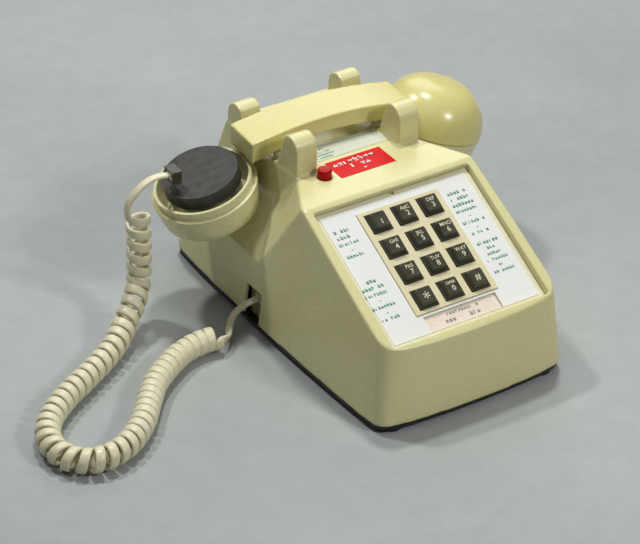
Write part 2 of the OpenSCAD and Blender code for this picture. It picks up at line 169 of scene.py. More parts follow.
def lathe(profile, sides, matrix=None):
    """Revolves (radius, z) points about z; a radius of 0 closes an end."""
    verts, rows = [], []
    for r, z in profile:
        if r == 0:
            rows.append([len(verts)])
            verts.append((0, 0, z))
        else:
            rows.append(list(range(len(verts), len(verts) + sides)))
            verts += [(r * math.cos(2 * math.pi * k / sides),
                       r * math.sin(2 * math.pi * k / sides), z) for k in range(sides)]
    faces = []
    loops = list(zip(rows, rows[1:]))
    if len(rows[0]) > 1 and len(rows[-1]) > 1:
        loops.append((rows[-1], rows[0]))
    for a, b in loops:
        for k in range(sides):
            j = (k + 1) % sides
            if len(a) == 1:
                faces.append((a[0], b[j], b[k]))
            elif len(b) == 1:
                faces.append((a[k], a[j], b[0]))
            else:
                faces.append((a[k], a[j], b[j], b[k]))
    ob = solid("lathe", verts, faces)
    if matrix is not None:
        ob.data.transform(matrix)
    return ob


def hull(points):
    ob = link("hull", bpy.data.meshes.new("hull"))
    bm = bmesh.new()
    for p in points:
        bm.verts.new(Vector(p) * MM)
    bmesh.ops.convex_hull(bm, input=bm.verts)
    loose = [v for v in bm.verts if not v.link_faces]
    bmesh.ops.delete(bm, geom=loose, context="VERTS")
    bmesh.ops.recalc_face_normals(bm, faces=bm.faces)
    bm.to_mesh(ob.data)
    bm.free()
    return ob


def soften(ob, voxel, rounds):
    """Rebuilds the surface at one even size and rounds its edges like a moulding's."""
    m = ob.modifiers.new("remesh", "REMESH")
    m.mode = "VOXEL"
    m.voxel_size = voxel * MM
    m.use_smooth_shade = True
    s = ob.modifiers.new("smooth", "SMOOTH")
    s.factor = 0.5
    s.iterations = rounds
    return bake_modifiers(ob)


def thin(ob, ratio):
    m = ob.modifiers.new("thin", "DECIMATE")
    m.ratio = ratio
    return bake_modifiers(ob)


def smooth_shaded(ob, angle=None):
    for p in ob.data.polygons:
        p.use_smooth = True
    if angle is not None:
        bm = bmesh.new()
        bm.from_mesh(ob.data)
        for e in bm.edges:
            if len(e.link_faces) == 2 and e.calc_face_angle(0) > math.radians(angle):
                e.smooth = False
        bm.to_mesh(ob.data)
        bm.free()
    return ob


def finished(ob, name, material, body, slot, *replaced):
    ob.name = name
    ob.data.name = name
    ob.data.materials.clear()
    ob.data.materials.append(material)
    if body is not None:
        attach(ob, body)
    if replaced:
        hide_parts(*replaced)
    return ob


# ---------------------------------------------------------------- materials
class Nodes:
    """Short names for building a shader."""

    def __init__(self, name):
        self.material = bpy.data.materials.new(name)
        self.material.use_nodes = True
        self.tree = self.material.node_tree
        self.shader = self.tree.nodes["Principled BSDF"]
        self.coords = self.tree.nodes.new("ShaderNodeTexCoord")

    def put(self, socket, value):
        if isinstance(value, bpy.types.NodeSocket):
            self.tree.links.new(value, socket)
        else:
            socket.default_value = value

    def noise(self, scale, detail=3.0, rough=0.55, stretch=None):
        n = self.tree.nodes.new("ShaderNodeTexNoise")
        n.inputs["Scale"].default_value = scale
        n.inputs["Detail"].default_value = detail
        n.inputs["Roughness"].default_value = rough
        vector = self.coords.outputs["Object"]
        if stretch is not None:
            m = self.tree.nodes.new("ShaderNodeMapping")
            m.inputs["Rotation"].default_value = stretch[0]
            m.inputs["Scale"].default_value = stretch[1]
            self.put(m.inputs["Vector"], vector)
            vector = m.outputs["Vector"]
        self.put(n.inputs["Vector"], vector)
        return n.outputs["Fac"]

    def ramp(self, value, *stops):
        n = self.tree.nodes.new("ShaderNodeValToRGB")
        e = n.color_ramp.elements
        while len(e) < len(stops):
            e.new(0.5)
        for k, (pos, colour) in enumerate(stops):
            e[k].position = pos
            c = colour if isinstance(colour, (tuple, list)) else (colour,) * 3
            e[k].color = (*c, 1)
        self.put(n.inputs["Fac"], value)
        return n.outputs["Color"]

    def mix(self, factor, a, b, blend="MIX"):
        n = self.tree.nodes.new("ShaderNodeMix")
        n.data_type = "RGBA"
        n.blend_type = blend
        self.put(n.inputs[0], factor)
        for socket, v in ((n.inputs[6], a), (n.inputs[7], b)):
            self.put(socket, (*v, 1) if isinstance(v, (tuple, list)) else v)
        return n.outputs[2]

    def bump(self, height, strength, distance, normal=None):
        n = self.tree.nodes.new("ShaderNodeBump")
        n.inputs["Strength"].default_value = strength
        n.inputs["Distance"].default_value = distance
        self.put(n.inputs["Height"], height)
        if normal is not None:
            self.put(n.inputs["Normal"], normal)
        return n.outputs["Normal"]

    def set(self, **values):
        for key, v in values.items():
            self.put(self.shader.inputs[key.replace("_", " ")],
                     (*v, 1) if isinstance(v, tuple) and len(v) == 3 else v)
        return self.material


def moulded(name, base, aged, dirt, rough=(0.24, 0.4), grain=0.05, specks=0.35):
    """Old moulded plastic: uneven yellowing, fine specks, a fine bumpy grain, handled gloss."""
    n = Nodes(name)
    tone = n.mix(n.ramp(n.noise(9, 3), (0.35, 0.0), (0.7, 0.75)), base, aged)
    fine = n.ramp(n.noise(420, 2), (0.3, 0.94), (0.7, 1.0))
    tone = n.mix(1.0, tone, fine, "MULTIPLY")
    spots = n.ramp(n.noise(900, 1.5), (0.69, 0.0), (0.76, specks))
    tone = n.mix(spots, tone, dirt)
    gloss = n.ramp(n.noise(75, 5, 0.65), (0.35, rough[0]), (0.75, rough[1]))
    small = n.bump(n.noise(1600, 2), grain, 0.0004)
    normal = n.bump(n.noise(70, 2), 0.03, 0.001, small)
    return n.set(Base_Color=tone, Roughness=gloss, Normal=normal, IOR=1.5)


def dark_plastic(name, base, light, rough=(0.3, 0.5)):
    """Key plastic: dark with a slight bloom of skin oil and dust."""
    n = Nodes(name)
    tone = n.mix(n.ramp(n.noise(90, 5, 0.65), (0.4, 0.0), (0.75, 1.0)), base, light)
    dust = n.ramp(n.noise(2400, 1.5), (0.66, 0.0), (0.8, 0.35))
    tone = n.mix(dust, tone, tuple(min(1, 2.5 * c + 0.03) for c in light))
    gloss = n.ramp(n.noise(160, 4), (0.3, rough[0]), (0.7, rough[1]))
    return n.set(Base_Color=tone, Roughness=gloss,
                 Normal=n.bump(n.noise(2600, 2), 0.12, 0.0003))


def printed(name, base, worn, rough=0.35, shine=0.5):
    """Ink on card or film, a little uneven."""
    n = Nodes(name)
    tone = n.mix(n.ramp(n.noise(1500, 3), (0.45, 0.0), (0.75, 0.6)), base, worn)
    gloss = n.ramp(n.noise(300, 2), (0.3, rough), (0.7, rough + 0.15))
    return n.set(Base_Color=tone, Roughness=gloss, Specular_IOR_Level=shine,
                 Normal=n.bump(n.noise(3000), 0.05, 0.0001))


def metal(name, base, dull, rough=(0.25, 0.45)):
    n = Nodes(name)
    tone = n.mix(n.ramp(n.noise(70, 4), (0.4, 0.0), (0.7, 1.0)), base, dull)
    streak = n.noise(300, 4, 0.6, ((0, 0, 0.5), (1, 20, 1)))
    return n.set(Base_Color=tone, Metallic=1.0,
                 Roughness=n.ramp(streak, (0.3, rough[0]), (0.7, rough[1])),
                 Normal=n.bump(streak, 0.08, 0.0002))


def clear_film(name):
    n = Nodes(name)
    n.set(Base_Color=(0.9, 0.9, 0.86), Alpha=n.ramp(n.noise(160, 4), (0.4, 0.06), (0.7, 0.16)))
    return n.set(Roughness=n.ramp(n.noise(200, 3), (0.35, 0.05), (0.75, 0.2)),
                 Normal=n.bump(n.noise(90, 2), 0.04, 0.0006))


shell = moulded("beige_shell", (0.70, 0.675, 0.36), (0.68, 0.63, 0.31), (0.25, 0.19, 0.10))
handle = moulded("cream_handset", (0.66, 0.615, 0.255), (0.63, 0.57, 0.21), (0.28, 0.2, 0.08),
                 rough=(0.22, 0.28), specks=0.25)
cap_plastic = moulded("cap_plastic", (0.68, 0.66, 0.38), (0.64, 0.60, 0.33), (0.3, 0.24, 0.14),
                      rough=(0.24, 0.38))
cord_vinyl = moulded("cord_cream", (0.74, 0.71, 0.52), (0.67, 0.62, 0.40), (0.2, 0.15, 0.09),
                     rough=(0.3, 0.5), grain=0.03, specks=0.5)
face = moulded("cream_face", (0.76, 0.74, 0.55), (0.74, 0.70, 0.48), (0.3, 0.25, 0.15))
bezel_cream = moulded("cream_bezel", (0.74, 0.69, 0.46), (0.70, 0.63, 0.38), (0.3, 0.24, 0.14),
                      rough=(0.35, 0.5))
card_white = printed("card_white", (0.78, 0.80, 0.78), (0.73, 0.75, 0.72), 0.3)
card_peach = printed("card_peach", (0.82, 0.71, 0.60), (0.70, 0.58, 0.45), 0.5)
card_green = printed("card_green", (0.62, 0.66, 0.56), (0.52, 0.55, 0.44), 0.45)
label_red = printed("label_red", (0.62, 0.006, 0.006), (0.52, 0.006, 0.008), 0.35, 0.12)
ink_white = printed("ink_white", (0.85, 0.80, 0.76), (0.75, 0.6, 0.55), 0.4)
ink_teal = printed("ink_teal", (0.008, 0.22, 0.14), (0.02, 0.30, 0.19), 0.4)
ink_grey = printed("ink_grey", (0.08, 0.08, 0.08), (0.22, 0.2, 0.18), 0.5)
ink_key = printed("ink_key", (0.66, 0.64, 0.44), (0.52, 0.50, 0.34), 0.4)
key_dark = dark_plastic("key_dark", (0.034, 0.034, 0.020), (0.062, 0.062, 0.038))
inner = dark_plastic("inner_plastic", (0.03, 0.03, 0.028), (0.05, 0.05, 0.045))
rubber = dark_plastic("black_rubber", (0.012, 0.012, 0.012), (0.03, 0.03, 0.028), (0.6, 0.8))
enamel = dark_plastic("black_steel", (0.010, 0.010, 0.010), (0.02, 0.02, 0.02), (0.3, 0.5))
jack_dark = dark_plastic("jack_dark", (0.035, 0.03, 0.018), (0.08, 0.07, 0.04))
lamp_red = printed("lamp_red", (0.42, 0.001, 0.002), (0.34, 0.001, 0.002), 0.12, 0.14)
materials = {
    "black_steel": enamel, "black_rubber": rubber, "beige_shell": shell, "cream_face": face,
    "zinc": metal("zinc", (0.62, 0.61, 0.57), (0.45, 0.43, 0.38)),
    "card_white": card_white, "card_peach": card_peach, "clear_cover": clear_film("clear_cover"),
    "cream_bezel": bezel_cream, "inner_plastic": inner,
    "silicone": moulded("silicone", (0.5, 0.5, 0.48), (0.45, 0.45, 0.42), (0.2, 0.2, 0.18)),
    "circuit_board": dark_plastic("circuit_board", (0.01, 0.10, 0.03), (0.02, 0.16, 0.05)),
    "lamp_red": lamp_red, "label_red": label_red, "card_green": card_green,
    "bulb": moulded("bulb", (0.8, 0.8, 0.75), (0.7, 0.7, 0.62), (0.3, 0.3, 0.2)),
    "plunger_white": moulded("plunger_white", (0.80, 0.79, 0.72), (0.75, 0.73, 0.62),
                             (0.3, 0.25, 0.2)),
    "contact_brass": metal("contact_brass", (0.78, 0.56, 0.25), (0.5, 0.35, 0.15)),
    "inner_grey": dark_plastic("inner_grey", (0.12, 0.12, 0.12), (0.2, 0.2, 0.19)),
    "coil_wrap": dark_plastic("coil_wrap", (0.18, 0.06, 0.02), (0.28, 0.12, 0.04)),
    "gong_brass": metal("gong_brass", (0.76, 0.55, 0.24), (0.55, 0.4, 0.18), (0.15, 0.3)),
    # painted shade: the ivory jack is coloured dark brown to stand in for the shade inside the
    # base's opening
    "jack_ivory": moulded("jack_ivory", (0.34, 0.28, 0.15), (0.26, 0.21, 0.11), (0.1, 0.08, 0.05)),
    "cream_handset": handle, "jack_dark": jack_dark, "key_dark": key_dark,
    "unit_metal": metal("unit_metal", (0.7, 0.7, 0.7), (0.5, 0.5, 0.5)),
    "plug_clear": moulded("plug_clear", (0.72, 0.69, 0.56), (0.66, 0.62, 0.46), (0.3, 0.25, 0.2)),
    "cord_cream": cord_vinyl,
}
for part in frame["record"]["subparts"]:
    mesh = nodes[part["node"]].data
    mesh.materials.clear()
    mesh.materials.append(materials[part["material_slot"]])


# ---------------------------------------------------------------- cord
TAIL_HANDSET = [(-105.5, 62.8, 101), (-109.5, 62.9, 101.9), (-115, 63, 102.9), (-122, 63, 102.4),
                (-129, 63, 98.8), (-134, 63.5, 93.5), (-137, 64.5, 87.5)]
COIL_AXIS = [(-130, 65, 80), (-129, 65, 66), (-129, 65, 52), (-129, 65, 40),
             (-130.2, 63.7, 31), (-134.4, 59.4, 25), (-141, 53.1, 20.5), (-147.8, 48.1, 17),
             (-153.3, 43.5, 13.5), (-158.9, 39, 11.5), (-166.9, 32.9, 10), (-180.2, 24.6, 9),
             (-197, 15, 8.7), (-213, 6, 8.7), (-227, -4, 8.7), (-237, -14, 8.7),
             (-243, -25, 8.7), (-245, -37, 8.7), (-242, -49, 8.7), (-234, -57, 8.7),
             (-223, -59.5, 8.7), (-211, -57, 8.7), (-200, -51, 8.7), (-189, -42, 8.7),
             (-180, -32, 8.7), (-171, -21, 8.7), (-161, -10, 8.7), (-147, 0, 8.7),
             (-134, 7.5, 8.7), (-122, 11, 8.7), (-112, 12, 8.7), (-104, 11, 8.7)]
TAIL_BASE = [(-96.5, 10.5, 7), (-93, 15.5, 8.6), (-90, 18.8, 11.5), (-86, 20.8, 14.6),
             (-80.5, 21.2, 17.6), (-74.5, 21, 19.4), (-68, 21, 20), (-65, 21, 20)]
CORD_W = 5.4
CORD_T = 2.7
COIL_R = 8.5 - CORD_T / 2
AXIS_STEP = 0.25        # between points of the coil's axis
TAIL_STEP = 1.6         # between points of the flat tails
POINTS_A_TURN = 18
FIRST_TURN, LAST_TURN = math.radians(150), math.radians(57)
SECTION_SIDES = 14


def spline(points, step):
    """A Catmull-Rom curve through points, evenly spaced."""
    p = np.array(points, float)
    p = np.vstack([2 * p[0] - p[1], p, 2 * p[-1] - p[-2]])
    out = []
    for a, b, c, d in zip(p, p[1:], p[2:], p[3:]):
        for t in np.linspace(0, 1, 24, endpoint=False):
            out.append(0.5 * (2 * b + (c - a) * t + (2 * a - 5 * b + 4 * c - d) * t * t
                              + (3 * b - a - 3 * c + d) * t ** 3))
    out.append(p[-2])
    out = np.array(out)
    along = np.concatenate([[0], np.cumsum(np.linalg.norm(np.diff(out, axis=0), axis=1))])
    at = np.linspace(0, along[-1], max(3, int(round(along[-1] / step)) + 1))
    return np.stack([np.interp(at, along, out[:, k]) for k in range(3)], axis=1)


def unit(v):
    return v / np.linalg.norm(v, axis=-1, keepdims=True)


def cord_line():
    """The flat cord's centre line and the direction of its thin side at each point."""
    axis = spline(COIL_AXIS, AXIS_STEP)
    tangent = unit(np.gradient(axis, axis=0))
    e1 = np.zeros_like(axis)
    e1[0] = (1, 0, 0)
    for i in range(len(axis)):
        v = e1[max(i - 1, 0)]
        e1[i] = unit(v - tangent[i] * (v @ tangent[i]))
    e2 = -np.cross(tangent, e1)
    share = np.linspace(0, 1, len(axis))
    pitch = np.interp(share, [0, 0.03, 0.12, 0.2, 0.35, 0.48, 0.56, 0.66, 0.8, 1],
                      [11, 9.6, 9.0, 8.6, 7.7, 7.8, 8.3, 7.3, 6.6, 6.5])
    turn = np.concatenate([[0], np.cumsum(AXIS_STEP / pitch[1:])]) * 2 * math.pi
    last = turn[-1]
    whole = round((last - LAST_TURN) / (2 * math.pi)) * 2 * math.pi + LAST_TURN
    turn = FIRST_TURN + turn * whole / last
    wobble = 0.35 * np.sin(turn * 0.31) + 0.25 * np.sin(turn * 0.117 + 1)
    radius = COIL_R + 0.25 * wobble
    at = np.arange(turn[0], turn[-1], 2 * math.pi / POINTS_A_TURN)
    grab = lambda a: np.stack([np.interp(at, turn, a[:, k]) for k in range(3)], axis=1)
    n = unit(grab(e1) * np.cos(at)[:, None] + grab(e2) * np.sin(at)[:, None])
    coil = grab(axis) + n * np.interp(at, turn, radius)[:, None]
    start = spline(TAIL_HANDSET + [tuple(coil[2])], TAIL_STEP)[:-1]
    arc = np.clip((103 - start[:, 2]) / 14, 0, 1)[:, None]
    first = unit(np.array([[0, 0, 1.0]]) * (1 - arc) + n[2] * arc)
    stop = spline([tuple(coil[-3])] + TAIL_BASE, TAIL_STEP)[1:]
    fade = np.linspace(0, 1, len(stop))[:, None]
    second = unit(n[-3] * (1 - fade) ** 2 + np.array([[0, 0, -1.0]]) * (1 - (1 - fade) ** 2))
    wide = np.concatenate([np.zeros(len(start)), np.ones(len(coil) - 4), np.zeros(len(stop))])
    for _ in range(12):
        wide[1:-1] = (wide[:-2] + wide[1:-1] + wide[2:]) / 3
    line = np.vstack([start, coil[2:-2], stop])
    return line, np.vstack([first, n[2:-2], second]), CORD_W + 0.8 * wide, axis


def build_cord():
    line, thin_side, width, axis = cord_line()
    for _ in range(2):
        line[1:-1] = 0.25 * line[:-2] + 0.5 * line[1:-1] + 0.25 * line[2:]
        thin_side[1:-1] = 0.25 * thin_side[:-2] + 0.5 * thin_side[1:-1] + 0.25 * thin_side[2:]
    t = unit(np.gradient(line, axis=0))
    n = unit(thin_side - t * np.sum(thin_side * t, axis=1, keepdims=True))
    w = np.cross(t, n)
    k = SECTION_SIDES
    verts = []
    for i in range(len(line)):
        for j in range(k):
            a = 2 * math.pi * j / k
            c, s = math.cos(a), math.sin(a)
            u = width[i] / 2 * math.copysign(abs(c) ** 0.72, c)
            v = CORD_T / 2 * math.copysign(abs(s) ** 0.72, s)
            verts.append(line[i] + u * w[i] + v * n[i])
    rows = len(line)
    faces = [(i * k + j, i * k + (j + 1) % k, (i + 1) * k + (j + 1) % k, (i + 1) * k + j)
             for i in range(rows - 1) for j in range(k)]
    faces += [tuple(range(k - 1, -1, -1)), tuple(range((rows - 1) * k, rows * k))]
    ob = smooth_shaded(solid("cord", verts, faces), 60)
    finished(ob, "curly_cord", cord_vinyl, None, "cord_cream",
             "cord_tail_handset", "cord_coil", "cord_tail_base")
    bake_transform(ob)


build_cord()

# ---------------------------------------------------------------- measures shared with the CAD, mm
DECK_Z = 105.4
SADDLE_Z = 97
SADDLE_FRONT = 46.5
PLATE_TILT = 26.9
KEY_PITCH = 19.05
HANDSET_Y = 57.5
HANDSET_TURN = -2.7
CAP_X, CAP_Y = 83, 1.5
CAP_TILT = 17
SEAM_Z = 85.4
BOWL_R = 34.5
GRIP_HALF_W = 16.5
GRIP_DEPTH = 16.5
END_X = 68.5
PLATE = (Matrix.Translation((0, -61.7 * MM, 78.8 * MM))
         @ Matrix.Rotation(math.radians(PLATE_TILT), 4, "X"))
HANDSET = (Matrix.Translation((0, HANDSET_Y * MM, 0))
           @ Matrix.Rotation(math.radians(HANDSET_TURN), 4, "Z"))


def at_cap(side):
    """The frame of a cap: its seam is z = 0 and the bowl is above it."""
    return (HANDSET @ Matrix.Translation((side * CAP_X * MM, CAP_Y * MM, SEAM_Z * MM))
            @ Matrix.Rotation(side * math.radians(CAP_TILT), 4, "Y"))


# ---------------------------------------------------------------- housing
def outline(w, front, rear, r):
    """The body in plan: half width w, both ends bowed, corners of radius r."""
    half_w = lambda y: w - 3.2 * ((y - 10) / 115) ** 2
    front_y = lambda x: -front + 4 * (x / 70) ** 2
    wf, wr = half_w(-front), half_w(rear)
    half = [(x, front_y(x)) for x in range(0, 54, 6)]
    half += [(wf - r + r * math.cos(math.radians(a)),
              front_y(wf) + r + r * math.sin(math.radians(a))) for a in range(-80, 1, 8)]
    half += [(half_w(y), y) for y in range(-100, 101, 10)]
    half += [(wr - r + r * math.cos(math.radians(a)),
              rear - r + r * math.sin(math.radians(a))) for a in range(0, 91, 9)]
    return half + [(-x, y) for x, y in half if x > 0]


def drafted(inset, z0):
    """The body's sloping walls, inset evenly from the outside."""
    low = outline(74 - inset, 123 - inset, 123 - inset, 10 - inset / 2)
    high = outline(62.5 - inset, 112 - inset, 111 - inset, 10 - inset / 2)
    return hull([(x, y, z0) for x, y in low] + [(x, y, 110) for x, y in high])


def side_view(drop, slope_drop):
    """The body from the side, with its top lowered by drop and its sloping face by slope_drop."""
    deck, saddle = DECK_Z, SADDLE_Z
    return [(-130, 0), (-130, 50 - slope_drop), (-18.8, deck - slope_drop), (-18.8, deck - drop),
            (23, deck - drop), (43, deck - 2 - drop), (SADDLE_FRONT, saddle - drop),
            (79, saddle - drop), (84, deck - drop),
            (98 - drop, deck - drop), (130, 30 - drop), (130, 0)]


def scoop(side, shift):
    """The space beside the neck where a cap hangs."""
    view = [(46, 150), (46, 75), (69, 48), (95, 18), (120, 150)]
    ob = front_prism([(side * (x - shift), z - shift) for x, z in view], -40, 140)
    turn = Matrix.Rotation(math.radians(28.3), 4, "Z") @ Matrix.Rotation(math.radians(67.9), 4, "Y")
    place = Matrix.Translation(Vector((62.5 - shift, -16.5 - shift, DECK_Z - shift)) * MM) @ turn
    half_space = block((-200, -200, 0), (200, 200, 400), place)
    if side < 0:
        half_space.data.transform(Matrix.Scale(-1, 4, (1, 0, 0)))
        half_space.data.flip_normals()
    return boolean(ob, half_space, "INTERSECT")


def ear_view(clip=None):
    """A cradle ear from the side; clip cuts it straight at that y."""
    arc = [(24 + 9 * math.cos(math.radians(a)), 121 + 9 * math.sin(math.radians(a)))
           for a in range(170, 49, -12)]
    heel = [(37.5, 106), (43, 102.6), (43, 92)] if clip is None else [(clip, 124), (clip, 92)]
    return [(15, 92), (15, 119)] + arc + heel


def build_housing():
    ob = boolean(drafted(0, 5.8), side_prism(side_view(0, 0), -90, 90), "INTERSECT")
    cut(ob, scoop(1, 0), scoop(-1, 0))
    voxel = 0.9
    soften(ob, voxel, 8)
    for x0 in (30.5, -45.5):
        front = side_prism(ear_view(), x0, x0 + 15)
        rear = side_prism([(111.5 - y, z - 9) for y, z in ear_view(31)], x0, x0 + 15)
        join(ob, front, rear)
    core = boolean(drafted(2.6, 4.8), side_prism(side_view(2.6, 11), -90, 90), "INTERSECT")
    cut(core, scoop(1, 2.6), scoop(-1, 2.6), block((-35, 87, 69), (35, 130, 91)))
    cut(ob, core,
        block((-57.3, -54.3, -2.2), (57.3, 46.3, 40), PLATE),
        block((-52, -49, -14), (52, 42.5, 0), PLATE),
        block((-90, 12.5, 0), (-60, 29.5, 28)),
        block((-38, 110, 0), (-22, 130, 24)),
        block((-32, 90, 72), (32, 130, 88)),
        rod(4.4, 80, 107, (-37, 48)), rod(4.4, 80, 107, (37, 48)),
        rod(4.8, 95, 115, (-30, 7.5)))
    soften(ob, voxel * 0.9, 5)
    thin(ob, 0.3)
    finished(smooth_shaded(ob), "housing_shell", shell, "root", "beige_shell", "housing")


build_housing()


# ---------------------------------------------------------------- handset
def grip_z(x):
    """Height of the handset's arched back."""
    return 132 - 18.3 * (x / 100) ** 2 + 2.2 * (x / 100) ** 4


def grip_view(depth, out=0.0):
    top = [(x, grip_z(x) + out) for x in range(-104, 105, 4)]
    under = [(x, grip_z(x) - depth - 2 * (x / 50) ** 2) for x in range(50, -51, -5)]
    return ([(-116 - out, 90), (-104.5 - out, grip_z(104.5) + out)] + top
            + [(104.5 + out, grip_z(104.5) + out), (116 + out, 90), (62, 90)] + under + [(-62, 90)])


def bowl(matrix):
    profile = [(0, -2), (BOWL_R, -2)]
    profile += [(BOWL_R * math.cos(math.radians(a)) ** 0.7, 30 * math.sin(math.radians(a)))
                for a in range(0, 90, 5)]
    return lathe(profile + [(0, 30)], 96, matrix)


def grip_solid(out):
    ob = front_prism(grip_view(GRIP_DEPTH, out), -GRIP_HALF_W - out, GRIP_HALF_W + out)
    ob.data.transform(HANDSET)
    return ob


def grip_insert():
    """The narrower strip along the underside, set back behind a fine step."""
    xs = range(-58, 59, 4)
    view = [(x, grip_z(x) - 9.3) for x in xs]
    view += [(x, grip_z(x) - 20.5 - 2 * (x / 50) ** 2) for x in reversed(xs)]
    ob = front_prism(view, -14.5, 14.5)
    ob.data.transform(HANDSET)
    return ob


def beyond_end(side):
    """What lies outside the handset's rounded, sloping end."""
    ob = block((END_X, -70, 62), (140, 70, 118))
    cone = lathe([(0, 60), (61.6, 60), (33.5, 120), (0, 120)], 128,
                 Matrix.Translation((END_X * MM, 0, 0)))
    cut(ob, cone)
    if side < 0:
        ob.data.transform(Matrix.Scale(-1, 4, (1, 0, 0)))
        ob.data.flip_normals()
    ob.data.transform(HANDSET)
    return ob


def build_handset():
    """The handle and its two caps.

    Known fault: with the fine voxels of a full run these booleans lose the main grip and the left
    bowl, and only the right bowl and the strip underneath are left.
    """
    ob = join(grip_solid(0), bowl(at_cap(-1)), bowl(at_cap(1)))
    voxel = 0.8
    soften(ob, voxel * 1.2, 16)
    join(ob, grip_solid(0.1), bowl(at_cap(-1)), bowl(at_cap(1)))
    cut(ob, beyond_end(-1), beyond_end(1))
    join(ob, grip_insert())
    for side in (-1, 1):
        m = at_cap(side)
        cut(ob, rod(46, -30, 0, (0, 0), m, 48), rod(31.9, -3, 8, (0, 0), m, 64),
            rod(25, 5, 13, (0, 0), m, 48))
    cut(ob, block((-120, -5.5, 97), (-102.2, 5.5, 106), HANDSET))
    soften(ob, voxel * 0.8, 4)
    thin(ob, 0.4)
    finished(smooth_shaded(ob), "handset_handle", handle, "handset", "cream_handset",
             "handset_grip")
    profile = [(0, -15.5), (12, -16.2), (20, -17.3), (25.8, -19.6), (27.2, -19.9), (28.8, -19.7),
               (30, -19), (30.9, -17.8), (31.4, -16.4), (32.4, -12), (33.2, -6.5), (33.9, -2),
               (34.2, -0.7), (33.9, -0.35), (31.6, -0.3), (31.6, 5), (29.7, 5), (29.3, -2),
               (28, -14), (20, -15), (0, -13.3)]
    rings = {-1: [(0.0, 1), (6, 6), (12, 12)], 1: [(0.0, 1), (8, 6)]}
    for side, name, node in ((-1, "mouth_cap", "transmitter_cap"), (1, "ear_cap", "receiver_cap")):
        m = at_cap(side)
        cap = lathe(profile, 96, m)
        for radius, count in rings[side]:
            for k in range(count):
                a = 2 * math.pi * k / count
                cut(cap, rod(1.2, -24, -10, (radius * math.cos(a), radius * math.sin(a)), m, 16))
        finished(smooth_shaded(cap, 50), name, cap_plastic, "handset", "beige_shell", node)


build_handset()


# ---------------------------------------------------------------- keys
KEYS = [("key_1", "", "1"), ("key_2", "ABC", "2"), ("key_3", "DEF", "3"), ("key_4", "GHI", "4"),
        ("key_5", "JKL", "5"), ("key_6", "MNO", "6"), ("key_7", "PRS", "7"), ("key_8", "TUV", "8"),
        ("key_9", "WXY", "9"), ("key_star", "", "*"), ("key_0", "OPER", "0"),
        ("key_pound", "", "#")]


def rounded_square(half, r, n=5):
    """n + 1 points on each corner of a square."""
    out = []
    for cx, cy, a0 in ((1, 1, 0), (-1, 1, 90), (-1, -1, 180), (1, -1, 270)):
        for k in range(n + 1):
            a = math.radians(a0 + 90 * k / n)
            out.append((cx * (half - r) + r * math.cos(a), cy * (half - r) + r * math.sin(a)))
    return out


def key_top(x, y):
    """Height of a key's dished top, which leans a little towards the user."""
    return 5.0 + 0.035 * y - 0.28 * (1 - (x * x + y * y) / 40)


def key_mesh(matrix):
    rings = [(-0.4, 6.5, 0.9), (0.2, 6.75, 0.9), (1.9, 6.75, 0.9), (2.2, 6.6, 0.8),
             (2.25, 6.3, 0.7), (1.9, 6.15, 0.7), (1.75, 5.9, 0.7), (2.1, 5.62, 0.8),
             (4.2, 5.32, 1.0), (4.75, 5.15, 1.1), (None, 4.85, 1.1), (None, 4.2, 1.0),
             (None, 3.0, 0.8), (None, 1.6, 0.5), (None, 0.5, 0.2)]
    verts, n = [], 24
    for z, half, r in rings:
        for x, y in rounded_square(half, r):
            verts.append((x, y, key_top(x, y) if z is None else z + 0.035 * y * (z > 4)))
    faces = [(i * n + j, i * n + (j + 1) % n, (i + 1) * n + (j + 1) % n, (i + 1) * n + j)
             for i in range(len(rings) - 1) for j in range(n)]
    faces += [tuple(range(n)), tuple(range((len(rings) - 1) * n, len(rings) * n))]
    ob = solid("key", verts, faces)
    ob.data.transform(matrix)
    return smooth_shaded(ob, 38)


def lettering(text, size, at, height, extrude=0.04):
    """Text as a thin mesh: height gives its surface in the frame's own z."""
    curve = bpy.data.curves.new("text", "FONT")
    curve.body = text
    curve.size = size
    curve.align_x = "CENTER"
    curve.align_y = "CENTER"
    curve.extrude = extrude / 2
    curve.offset = 0.045
    curve.resolution_u = 4
    ob = bpy.data.objects.new("text", curve)
    scene.collection.objects.link(ob)
    bpy.context.view_layer.update()
    depsgraph = bpy.context.evaluated_depsgraph_get()
    mesh = bpy.data.meshes.new_from_object(ob.evaluated_get(depsgraph), depsgraph=depsgraph)
    bpy.data.objects.remove(ob)
    for v in mesh.vertices:
        x, y = v.co.x + at[0], v.co.y + at[1]
        v.co = (x * MM, y * MM, (height(x, y) + extrude / 2 + 0.01 + v.co.z) * MM)
    return mesh


def merged(name, meshes, matrix):
    bm = bmesh.new()
    for mesh in meshes:
        bm.from_mesh(mesh)
    bmesh.ops.remove_doubles(bm, verts=bm.verts, dist=2e-6)
    ob = link(name, bpy.data.meshes.new(name))
    bm.to_mesh(ob.data)
    bm.free()
    ob.data.transform(matrix)
    return ob


def build_keys():
    for i, (node, letters, digit) in enumerate(KEYS):
        m = PLATE @ Matrix.Translation(((i % 3 - 1) * KEY_PITCH * MM,
                                        (1.5 - i // 3) * KEY_PITCH * MM, 0))
        stem = block((-3.3, -3.3, -13.5), (3.3, 3.3, -0.3), m)
        ob = join(key_mesh(m), stem)
        finished(smooth_shaded(ob, 38), node + "_cap", key_dark, node, "key_dark", node)
        texts = []
        if letters:
            texts.append(lettering(letters, 3.5 if len(letters) < 4 else 2.7, (0.2, 2.5), key_top))
        big = {"*": (10.5, (0.3, -2.2)), "#": (6.4, (0.3, 0))}.get(digit, (5.0, (0.6, -1.6)))
        texts.append(lettering(digit, big[0], big[1], key_top))
        finished(merged("legend", texts, m), node + "_legend", ink_key, node, "key_dark")


build_keys()


